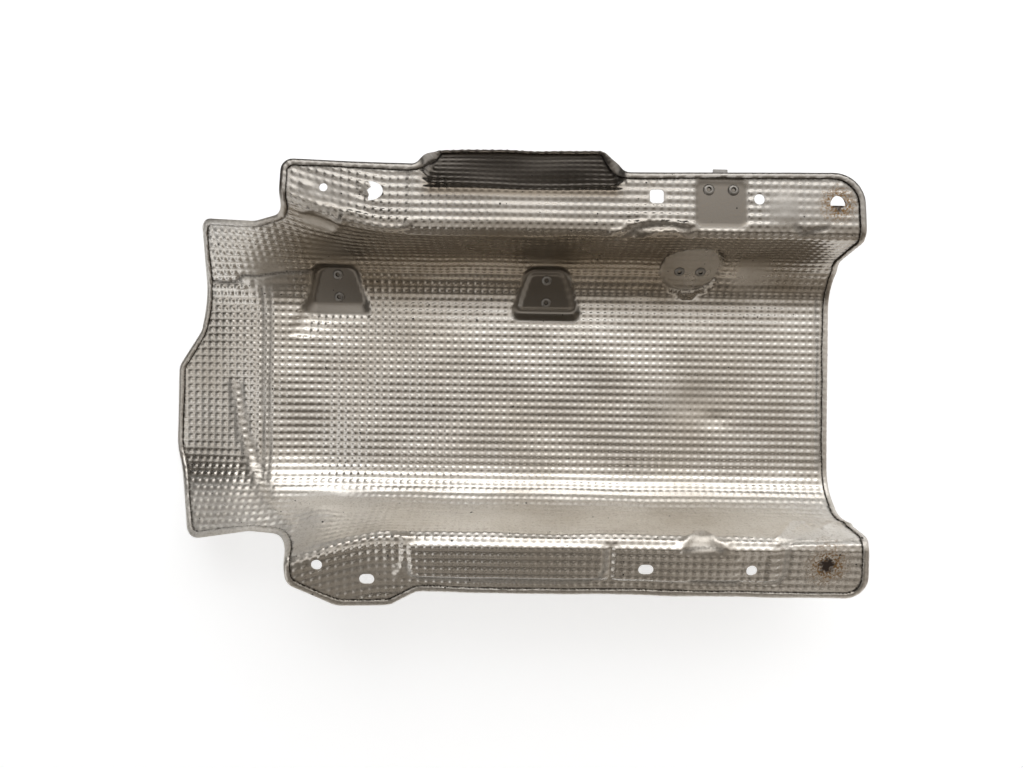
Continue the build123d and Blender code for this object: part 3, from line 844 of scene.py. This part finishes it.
# rolled embossing: round bumps in rows and columns along the sheet's own length and girth
def embossTree(material):
    names = ("Pitch", "Depth", "Unevenness", "Row Share")
    tree, make, given = shapeTree("rolledEmbossing", [(name, "NodeSocketFloat") for name in names])

    def named(name, kind="FLOAT"):
        return make("GeometryNodeInputNamedAttribute", {"Name": name}, data_type=kind).outputs[0]

    waves = []
    for name in ("gridU", "gridV"):
        waves.append(cosine(calc("DIVIDE", times(named(name), mm * math.tau), given["Pitch"])))
    struck = times(rowSwing(waves[0]), calc("SUBTRACT", 1.0, given["Row Share"]))
    height = calc("ADD", times(waves[1], struck), times(waves[0], given["Row Share"]))
    chance = noise(make, {"Scale": emboss["noise"], "Detail": 2.0})
    swing = times(calc("SUBTRACT", chance, 0.5), given["Unevenness"])
    share = times(named("embossed"), given["Depth"])
    amount = times(times(height, calc("ADD", 1.0, swing)), share)
    facing = named("sheetNormal", "FLOAT_VECTOR")
    offset = make("ShaderNodeVectorMath", {0: facing, 3: amount}, operation="SCALE").outputs[0]
    moved = make("GeometryNodeSetPosition", {"Geometry": given["Geometry"], "Offset": offset})
    closeShape(make, moved.outputs[0], material)
    return tree


# shader effects that are used more than once
def effectGroup(name, inputs, outputs):
    tree = bpy.data.node_groups.new(name, "ShaderNodeTree")
    for socket, kind, value in inputs:
        tree.interface.new_socket(socket, in_out="INPUT", socket_type=kind).default_value = value
    for socket, kind in outputs:
        tree.interface.new_socket(socket, in_out="OUTPUT", socket_type=kind)
    return tree, nodeMaker(tree)


grime = {
    "wobble": 420.0, "bend": 0.0012, "speckPower": 3.0, "speckSizes": (0.05, 0.14), "filmDetail": 6.0,
    "filmRoughness": 0.62, "film": (0.35, 0.7), "grain": 620.0, "grainDetail": 3.0, "grainRoughness": 0.6,
}


def roadGrime():
    inputs = (("Speck Spacing", 0.01), ("Speck Share", 0.4), ("Film Size", 0.08))
    tree, make = effectGroup(
        "roadGrime",
        [(name, "NodeSocketFloat", value) for name, value in inputs],
        [(name, "NodeSocketFloat") for name in ("Specks", "Film", "Grain")],
    )
    given = make("NodeGroupInput").outputs
    place = make("ShaderNodeTexCoord").outputs["Object"]
    perSpeck = calc("DIVIDE", 1.0, given["Speck Spacing"])
    wobble = make("ShaderNodeTexNoise", {"Vector": place, "Scale": grime["wobble"], "Detail": 2.0})
    bend = vectorCalc("MULTIPLY", wobble.outputs["Color"], (grime["bend"],) * 3)
    bent = vectorCalc("ADD", place, bend)
    cells = make("ShaderNodeTexVoronoi", {"Vector": bent, "Scale": perSpeck, "Randomness": 1.0}, feature="F1")
    pick = make("ShaderNodeSeparateColor", {0: cells.outputs["Color"]})
    chosen = calc("LESS_THAN", pick.outputs[0], given["Speck Share"])
    size = calc("POWER", pick.outputs[1], grime["speckPower"])
    size = ranged(size, 0.0, 1.0, *grime["speckSizes"])
    specks = times(chosen, calc("LESS_THAN", cells.outputs["Distance"], size))
    film = noise(make, {
        "Vector": place, "Scale": calc("DIVIDE", 1.0, given["Film Size"]), "Detail": grime["filmDetail"],
        "Roughness": grime["filmRoughness"],
    })
    grain = noise(make, {
        "Vector": place, "Scale": grime["grain"], "Detail": grime["grainDetail"],
        "Roughness": grime["grainRoughness"],
    })
    make("NodeGroupOutput", {"Specks": specks, "Film": ranged(film, *grime["film"]), "Grain": grain})
    return tree


# rust round a place in plan: a dark core and a wider ring of grains, in shares of its radius
rust = {
    "noise": 260.0, "wander": (0.3, 0.7, -0.16, 0.16), "grains": (0.42, 0.56), "ring": (1.25, 0.55),
    "core": (0.45, 0.2),
}


def rustPatch():
    tree, make = effectGroup(
        "rustPatch",
        [("Place", "NodeSocketVector", (0.0, 0.0, 0.0)), ("Radius", "NodeSocketFloat", 0.01),
         ("Grain", "NodeSocketFloat", 0.5)],
        [("Ring", "NodeSocketFloat"), ("Core", "NodeSocketFloat")],
    )
    given = make("NodeGroupInput").outputs
    place = make("ShaderNodeTexCoord").outputs["Object"]
    apart = vectorCalc("MULTIPLY", vectorCalc("SUBTRACT", place, given["Place"]), (1.0, 1.0, 0.0))
    gap = make("ShaderNodeVectorMath", {0: apart}, operation="LENGTH").outputs["Value"]
    gap = calc("DIVIDE", gap, given["Radius"])
    shapes = noise(make, {"Vector": place, "Scale": rust["noise"], "Detail": 3.0})
    gap = calc("ADD", gap, ranged(shapes, *rust["wander"]))
    grains = ranged(given["Grain"], *rust["grains"])
    ring = times(ranged(gap, *rust["ring"]), grains)
    make("NodeGroupOutput", {"Ring": ring, "Core": ranged(gap, *rust["core"])})
    return tree


grimeGroup = roadGrime()
rustGroup = rustPatch()


def finish(name):
    material = bpy.data.materials.new(name)
    material.use_nodes = True
    material.node_tree.nodes.clear()
    return material, nodeMaker(material.node_tree)


def closeFinish(make, inputs, kind="ShaderNodeBsdfPrincipled"):
    make("ShaderNodeOutputMaterial", {"Surface": make(kind, inputs).outputs[0]})


def mixColour(factor, a, b):
    colours = [(*value, 1.0) if isinstance(value, tuple) else value for value in (a, b)]
    inputs = {0: factor, 6: colours[0], 7: colours[1]}
    return makerOf(factor)("ShaderNodeMix", inputs, data_type="RGBA", blend_type="MIX").outputs[2]


# foil finish: colours, then the bounds of each stain, tint and painted shade along girth, length or grain,
# with its least and most share
foil = {
    "colour": (0.83, 0.81, 0.775), "dull": (0.66, 0.62, 0.56), "speck": (0.03, 0.026, 0.022),
    "brownTintAndShade": (0.245, 0.2, 0.148), "dirt": (0.05, 0.043, 0.036), "rust": (0.24, 0.135, 0.045),
    "core": (0.03, 0.018, 0.012), "tabShade": (0.13, 0.107, 0.082), "pressed": (0.17, 0.152, 0.13),
    "haze": (0.275, 0.26, 0.242), "speckSpacing": 0.0062, "speckShare": 0.42, "filmSize": 0.11,
    "wallTintShadeFrom": (60.0, 84.0), "wallTintShadeTo": (188.0, 166.0), "wallTintShadeLength": (-216.0, -172.0),
    "wallTintShadeFilm": (0.6, 0.95), "brownGrain": (0.5, 0.75, 0.0, 0.4), "hazeFrom": (166.0, 184.0, 0.0, 0.75),
    "tabShadeLeft": (tab["left"] - 14.0, tab["left"] - 2.0),
    "tabShadeRight": (tab["right"] + 13.0, tab["right"] + 2.0),
    "tabShadeFrom": (194.0, 200.0, 0.0, 0.9), "creaseShadeGrain": (0.3, 0.6, 0.45, 1.0), "pressedShadeShare": 0.85,
    "hemGapShadeGrain": (0.35, 0.55, 0.35, 1.0), "roughness": (0.2, 0.3), "coverRough": 0.35, "flatRough": 0.08,
    "satinFrom": (-80.0, -104.0, 0.0, 0.24), "satinTo": (-176.0, -164.0), "coverMetal": 0.25,
    "grainBump": 0.14, "grainHeight": 0.0004,
    "rustPlaces": [((0.2436, 0.139, 0.0), 0.013), ((0.2412, -0.1335, 0.0), 0.0165)],
}


def agedFoil():
    material, make = finish("agedFoil")
    dirty = make("ShaderNodeGroup", {
        "Speck Spacing": foil["speckSpacing"], "Speck Share": foil["speckShare"],
        "Film Size": foil["filmSize"],
    }, node_tree=grimeGroup)

    def attribute(name):
        return make("ShaderNodeAttribute", attribute_name=name).outputs["Fac"]

    across, length = attribute("gridV"), attribute("gridU")
    specks, film, grain = [dirty.outputs[name] for name in ("Specks", "Film", "Grain")]
    # brown heat tint and painted shade over the upper corner and wall, fading out towards the mouth's lip and
    # broken up by the film; the same brown also tints the grain
    brownTintAndShade = times(
        ranged(across, *foil["wallTintShadeFrom"]), ranged(across, *foil["wallTintShadeTo"]),
        ranged(length, *foil["wallTintShadeLength"]), ranged(film, 0.0, 1.0, *foil["wallTintShadeFilm"]),
    )
    # painted shade darkening the tab across its width
    tabShadeMask = times(
        ranged(length, *foil["tabShadeLeft"]), ranged(length, *foil["tabShadeRight"]),
        ranged(across, *foil["tabShadeFrom"]),
    )
    # painted shade along the creases, broken up by the grain; its colour also darkens the hem's inner edge
    dirt = times(attribute("dirt"), ranged(grain, *foil["creaseShadeGrain"]))
    colour = mixColour(film, foil["colour"], foil["dull"])
    for mask, name in (
        (brownTintAndShade, "brownTintAndShade"), (ranged(across, *foil["hazeFrom"]), "haze"),
        # painted shade in the pads, the dish and the seat
        (times(attribute("pressed"), foil["pressedShadeShare"]), "pressed"), (tabShadeMask, "tabShade"),
        (ranged(grain, *foil["brownGrain"]), "brownTintAndShade"), (dirt, "dirt"),
    ):
        colour = mixColour(mask, colour, foil[name])
    cover = calc("MAXIMUM", specks, dirt)
    for place, radius in foil["rustPlaces"]:
        given = {"Place": place, "Radius": radius, "Grain": grain}
        patch = make("ShaderNodeGroup", given, node_tree=rustGroup)
        ring, core = patch.outputs["Ring"], patch.outputs["Core"]
        colour = mixColour(core, mixColour(ring, colour, foil["rust"]), foil["core"])
        cover = calc("MAXIMUM", cover, calc("MAXIMUM", ring, core))
    colour = mixColour(specks, colour, foil["speck"])
    # painted shade in the gap along the hem's inner edge
    groove = times(attribute("groove"), ranged(grain, *foil["hemGapShadeGrain"]))
    colour = mixColour(groove, colour, foil["dirt"])
    rough = ranged(film, 0.0, 1.0, *foil["roughness"])
    satin = times(ranged(across, *foil["satinFrom"]), ranged(across, *foil["satinTo"]))
    flatter = times(attribute("smoothed"), foil["flatRough"])
    for extra in (times(cover, foil["coverRough"]), flatter, satin):
        rough = calc("ADD", rough, extra)
    # the struck marks' crisp edges, on top of the modelled bumps
    waves = [cosine(times(line, math.tau / emboss["pitch"])) for line in (length, across)]
    marks = times(waves[1], rowSwing(waves[0]))
    marks = calc("ADD", marks, times(waves[0], emboss["fineRow"]))
    marks = times(marks, attribute("embossed"))
    fine = make("ShaderNodeBump", {"Height": marks, "Strength": 1.0, "Distance": emboss["fine"] * mm})
    bump = make("ShaderNodeBump", {
        "Height": grain, "Strength": foil["grainBump"], "Distance": foil["grainHeight"],
        "Normal": fine.outputs[0],
    })
    metal = ranged(cover, 0.0, 1.0, 1.0, foil["coverMetal"])
    closeFinish(make, {
        "Base Color": colour, "Roughness": rough, "Metallic": metal, "Normal": bump.outputs[0],
    })
    return material


boxMargin = 1e-5
foilFinish = agedFoil()
sheetPiece = addPiece("sheet", buildSheet())
sheetPiece.data.materials.append(foilFinish)
applyNodes(sheetPiece, embossTree(foilFinish), {
    "Pitch": emboss["pitch"] * mm, "Depth": emboss["depth"] * mm, "Unevenness": emboss["unevenness"],
    "Row Share": emboss["rowShare"],
})
# bumps kept inside the solids' box
sheetMesh = sheetPiece.data
places = np.empty(len(sheetMesh.vertices) * 3, dtype=np.float32)
sheetMesh.vertices.foreach_get("co", places)
boxLow, boxHigh = np.array(cadBox[0]) + boxMargin, np.array(cadBox[1]) - boxMargin
places = np.clip(places.reshape(-1, 3), boxLow, boxHigh)
sheetMesh.vertices.foreach_set("co", places.ravel())
sheetMesh.update()
sheetMesh.shade_smooth()
sheetMesh.set_sharp_from_angle(angle=math.radians(emboss["sharp"]))
sheetMesh.calc_loop_triangles()
print("sheet triangles:", len(sheetMesh.loop_triangles))
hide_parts("shield")
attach(sheetPiece, "root")

# hollow rivets: radius and height of each ring from the bore out over the head and down to the set tail
rivet = {
    "rings": (
        (0.8, -1.5), (1.35, -1.2), (1.45, 0.3), (1.6, 0.95), (1.95, 1.22), (2.4, 1.27), (3.2, 1.1),
        (4.0, 0.72), (4.34, 0.36), (4.4, 0.0), (1.9, 0.0), (1.9, -3.0), (3.0, -3.0), (3.0, -3.9), (2.7, -4.2),
    ),
    # the bore's rings, the head's lower edge rings and the tips carry painted shade
    "bore": 4, "edgeRings": (9, 10), "edgeShade": 0.55, "ends": (-1.6, -4.2), "sides": 28, "sharp": 55.0,
    "padGap": 19.4, "seatGap": 18.6, "seatY": 11.0, "dishGap": 17.8, "dishY": -5.0,
    "colour": (0.3, 0.285, 0.265), "roughness": 0.36,
}
strap = {"colour": (0.36, 0.35, 0.34), "roughness": 0.45}
dull = {
    "speckSpacing": 0.004, "filmSize": 0.012, "film": 0.62, "bore": (0.012, 0.011, 0.01), "bump": 0.15,
    "bumpHeight": 0.0004, "grain": (0.3, 0.7), "smoother": 0.06, "rougher": 0.1,
}


def rivetForm():
    form = bmesh.new()
    # painted shade: full in the bore and at both tips, part on the head's lower edge
    dark = form.verts.layers.float.new("bore")
    rows = []
    for n, (radius, height) in enumerate(rivet["rings"]):
        row = []
        for k in range(rivet["sides"]):
            turn = math.tau * k / rivet["sides"]
            spot = form.verts.new((radius * mm * math.cos(turn), radius * mm * math.sin(turn), height * mm))
            edge = rivet["edgeShade"] if n in rivet["edgeRings"] else 0.0
            spot[dark] = 1.0 if n < rivet["bore"] else edge
            row.append(spot)
        rows.append(row)
    for inner, outer in zip(rows[:-1], rows[1:]):
        for k in range(rivet["sides"]):
            m = (k + 1) % rivet["sides"]
            form.faces.new((inner[k], outer[k], outer[m], inner[m]))
    for row, height in ((rows[0], rivet["ends"][0]), (rows[-1], rivet["ends"][1])):
        tip = form.verts.new((0.0, 0.0, height * mm))
        tip[dark] = 1.0
        for k in range(rivet["sides"]):
            form.faces.new((row[k], row[(k + 1) % rivet["sides"]], tip))
    bmesh.ops.recalc_face_normals(form, faces=form.faces)
    for face in form.faces:
        face.smooth = True
    mesh = bpy.data.meshes.new("rivetForm")
    form.to_mesh(mesh)
    form.free()
    return mesh


def upperFlangeZ(y):
    tip = math.radians(trough["upperDroop"])
    outer = trough["bendRadius"] + trough["sheet"]
    return bendZ + outer * math.cos(tip) - (y - brim - outer * math.sin(tip)) * math.tan(tip)


def rivetPlaces():
    padSpots = [(0.0, side * rivet["padGap"] / 2) for side in (1, -1)]
    seatSpots = [(side * rivet["seatGap"] / 2, rivet["seatY"]) for side in (-1, 1)]
    dishSpots = [(side * rivet["dishGap"] / 2, rivet["dishY"]) for side in (-1, 1)]
    seatY = brim + seat["in"]
    seatPlace = tiltedPlace(seat["x"], seatY, upperFlangeZ(seatY) - seat["depth"], -trough["upperDroop"])
    found = []
    for (origin, along, normal), rise, spots in (
        (cornerPlace(leftPad), 0.0, padSpots), (cornerPlace(centrePad), centrePad["plateau"], padSpots),
        (seatPlace, 0.0, seatSpots), (cornerPlace(dish), 0.0, dishSpots),
    ):
        for a, b in spots:
            found.append((origin + np.array((a, 0.0, 0.0)) + along * b + normal * rise, normal))
    return found


def rivetTree(material):
    tree, make, given = shapeTree("setRivets", [("Form", "NodeSocketObject")])
    form = make("GeometryNodeObjectInfo", {"Object": given["Form"]}).outputs["Geometry"]
    facing = make("GeometryNodeInputNamedAttribute", {"Name": "facing"}, data_type="FLOAT_VECTOR").outputs[0]
    turned = make("FunctionNodeAlignRotationToVector", {"Vector": facing}, axis="Z").outputs[0]
    points = make("GeometryNodeMeshToPoints", {"Mesh": given["Geometry"]}).outputs[0]
    copies = make("GeometryNodeInstanceOnPoints", {"Points": points, "Instance": form, "Rotation": turned})
    closeShape(make, copies.outputs[0], material)
    return tree


def dullMetal(name, colour, roughness, boreName=""):
    material, make = finish(name)
    given = {"Speck Spacing": dull["speckSpacing"], "Film Size": dull["filmSize"]}
    dirty = make("ShaderNodeGroup", given, node_tree=grimeGroup)
    grain = dirty.outputs["Grain"]
    tint = mixColour(dirty.outputs["Film"], colour, tuple(c * dull["film"] for c in colour))
    tint = mixColour(dirty.outputs["Specks"], tint, foil["speck"])
    # painted shade in the rivets' bores and round their heads' lower edges
    if boreName:
        bore = make("ShaderNodeAttribute", attribute_name=boreName).outputs["Fac"]
        tint = mixColour(bore, tint, dull["bore"])
    bump = make("ShaderNodeBump", {"Height": grain, "Strength": dull["bump"], "Distance": dull["bumpHeight"]})
    rough = ranged(grain, *dull["grain"], roughness - dull["smoother"], roughness + dull["rougher"])
    closeFinish(make, {"Base Color": tint, "Roughness": rough, "Normal": bump.outputs[0], "Metallic": 1.0})
    return material


strapFinish = dullMetal("strapSteel", strap["colour"], strap["roughness"])
rivetFinish = dullMetal("rivetAlloy", rivet["colour"], rivet["roughness"], "bore")
spots = rivetPlaces()
spotMesh = bpy.data.meshes.new("rivetSpots")
spotMesh.from_pydata([tuple(place * mm) for place, normal in spots], [], [])
facing = spotMesh.attributes.new("facing", "FLOAT_VECTOR", "POINT")
facing.data.foreach_set("vector", np.array([normal for place, normal in spots], dtype=np.float32).ravel())
rivetPiece = addPiece("rivetSet", spotMesh)
formPiece = addPiece("rivetForm", rivetForm())
applyNodes(rivetPiece, rivetTree(rivetFinish), {"Form": formPiece})
bpy.data.objects.remove(formPiece)
rivetPiece.data.set_sharp_from_angle(angle=math.radians(rivet["sharp"]))
print("rivets:", len(spots), "with", len(rivetPiece.data.polygons), "faces")
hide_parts("rivets")
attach(rivetPiece, "root")
for name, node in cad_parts.items():
    if name.endswith("strap"):
        node.data.materials.clear()
        node.data.materials.append(strapFinish)
print("finishes set")

# camera straight above, turned a little
view = {"focal": 700.0, "height": 607.5, "roll": 0.9, "width": 1023, "sensor": 36.0, "nearest": 0.01}
camera = bpy.data.cameras.new("camera")
camera.sensor_width = view["sensor"]
camera.lens = view["sensor"] * view["focal"] / view["width"]
camera.clip_start = view["nearest"]
cameraPiece = bpy.data.objects.new("camera", camera)
cameraPiece.location = (0.0, 0.0, view["height"] * mm)
cameraPiece.rotation_euler = (0.0, 0.0, math.radians(view["roll"]))
scene.collection.objects.link(cameraPiece)
scene.camera = cameraPiece

# light tent over a pale floor, with a dark flag behind the tab. cloth: place across the tent and brightness;
# left and right: where the side cloths take over; dim: where the far left fades, and its power
studio = {
    "radius": 2.4, "rings": 14, "segments": 56, "floorSize": 4.6, "floorGap": 0.0005, "floorGlow": 0.55,
    "floorTone": (0.76, 0.785, 0.82), "floorRoughness": 0.9, "ambient": 0.5, "flagSize": (3.0, 0.22),
    "flagPlace": (0.0, 0.4, 0.11), "flagTone": (0.04, 0.038, 0.036), "power": 3.0, "left": (-0.3, -0.5),
    "right": (0.12, 0.45), "dim": (-0.62, -0.8), "dimPower": 0.9, "tone": (1.0, 0.86, 0.7),
    "white": (1.0, 0.985, 0.965), "plain": (1.0, 1.0, 1.0, 1.0),
    "cloth": (
        (-1.0, 0.16), (-0.78, 0.3), (-0.55, 0.07), (-0.3, 0.14), (-0.1, 0.54), (0.06, 0.68), (0.3, 0.74),
        (0.48, 1.2), (0.62, 2.5), (0.87, 2.5), (0.94, 0.7), (0.985, 0.1),
    ),
    "leftCloth": (
        (-1.0, 0.08), (-0.86, 0.2), (-0.64, 1.2), (-0.36, 0.95), (-0.16, 0.6), (0.05, 1.1), (0.22, 0.16),
        (0.55, 0.08), (0.8, 0.22), (1.0, 0.1),
    ),
    "rightCloth": (
        (-1.0, 0.2), (-0.75, 0.55), (-0.5, 0.24), (-0.3, 0.2), (-0.1, 0.42), (0.06, 0.6), (0.3, 0.8),
        (0.48, 1.1), (0.66, 2.4), (0.87, 2.4), (0.94, 0.7), (0.985, 0.1),
    ),
}


def plate(name, size, place, turn):
    w, h = size[0] / 2, size[1] / 2
    mesh = bpy.data.meshes.new(name)
    mesh.from_pydata([(-w, -h, 0), (w, -h, 0), (w, h, 0), (-w, h, 0)], [], [(0, 1, 2, 3)])
    piece = addPiece(name, mesh)
    piece.location = place
    piece.rotation_euler = turn
    return piece


def domePiece(name, radius, rings, segments):
    points, faces = [(0.0, 0.0, radius)], []
    for r in range(1, rings + 1):
        tilt = math.pi / 2 * r / rings
        for s in range(segments):
            turn = math.tau * s / segments
            flat = radius * math.sin(tilt)
            points.append((flat * math.cos(turn), flat * math.sin(turn), radius * math.cos(tilt)))
    for s in range(segments):
        t = (s + 1) % segments
        faces.append((0, 1 + t, 1 + s))
        for r in range(rings - 1):
            a, b = 1 + r * segments, 1 + (r + 1) * segments
            faces.append((a + s, a + t, b + t, b + s))
    mesh = bpy.data.meshes.new(name)
    mesh.from_pydata(points, [], faces)
    return addPiece(name, mesh)


def shownRays(make):
    path = make("ShaderNodeLightPath")
    shown = calc("MAXIMUM", path.outputs["Is Camera Ray"], path.outputs["Is Glossy Ray"])
    return calc("MAXIMUM", shown, path.outputs["Is Transmission Ray"])


def floorFinish():
    material, make = finish("paleFloor")
    glow = times(shownRays(make), studio["floorGlow"])
    closeFinish(make, {
        "Base Color": (*studio["floorTone"], 1.0), "Roughness": studio["floorRoughness"],
        "Emission Color": studio["plain"], "Emission Strength": glow,
    })
    return material


def clothFinish():
    material, make = finish("tentCloth")
    place = make("ShaderNodeTexCoord").outputs["Object"]
    toward = make("ShaderNodeVectorMath", {0: place}, operation="NORMALIZE").outputs[0]
    parts = make("ShaderNodeSeparateXYZ", {0: toward})
    along = ranged(parts.outputs[1], -1.0, 1.0)

    def levels(stops):
        ramp = make("ShaderNodeValToRGB", {0: along})
        while len(ramp.color_ramp.elements) < len(stops):
            ramp.color_ramp.elements.new(0.5)
        for element, (spot, level) in zip(ramp.color_ramp.elements, stops):
            share = min(1.0, level)
            tones = [t + (w - t) * share for t, w in zip(studio["tone"], studio["white"])]
            element.position = (spot + 1.0) / 2.0
            element.color = (*[level / studio["power"] * tone for tone in tones], 1.0)
        return ramp.outputs[0]

    left = ranged(parts.outputs[0], *studio["left"], kind="SMOOTHSTEP")
    colour = mixColour(left, levels(studio["cloth"]), levels(studio["leftCloth"]))
    right = ranged(parts.outputs[0], *studio["right"], kind="SMOOTHSTEP")
    colour = mixColour(right, colour, levels(studio["rightCloth"]))
    power = ranged(parts.outputs[0], *studio["dim"], studio["power"], studio["dimPower"])
    closeFinish(make, {"Color": colour, "Strength": power}, "ShaderNodeEmission")
    return material


def flagFinish():
    material, make = finish("darkFlag")
    closeFinish(make, {"Base Color": (*studio["flagTone"], 1.0), "Roughness": 1.0})
    return material


level = (0.0, 0.0, 0.0)
upright = (math.radians(90), 0.0, 0.0)
floor = plate("floor", (studio["floorSize"],) * 2, (0.0, 0.0, cadBox[0][2] - studio["floorGap"]), level)
floor.data.materials.append(floorFinish())
tent = domePiece("tent", studio["radius"], studio["rings"], studio["segments"])
tent.data.materials.append(clothFinish())
tent.visible_camera = False
flag = plate("flag", studio["flagSize"], studio["flagPlace"], upright)
flag.data.materials.append(flagFinish())
flag.visible_camera = False
flag.visible_diffuse = False
flag.visible_shadow = False

world = bpy.data.worlds.new("studio")
world.use_nodes = True
world.node_tree.nodes.clear()
make = nodeMaker(world.node_tree)
glow = ranged(shownRays(make), 0.0, 1.0, studio["ambient"], 1.0)
sky = make("ShaderNodeBackground", {"Strength": glow, "Color": studio["plain"]})
make("ShaderNodeOutputWorld", {"Surface": sky.outputs[0]})
scene.world = world
print("studio set")
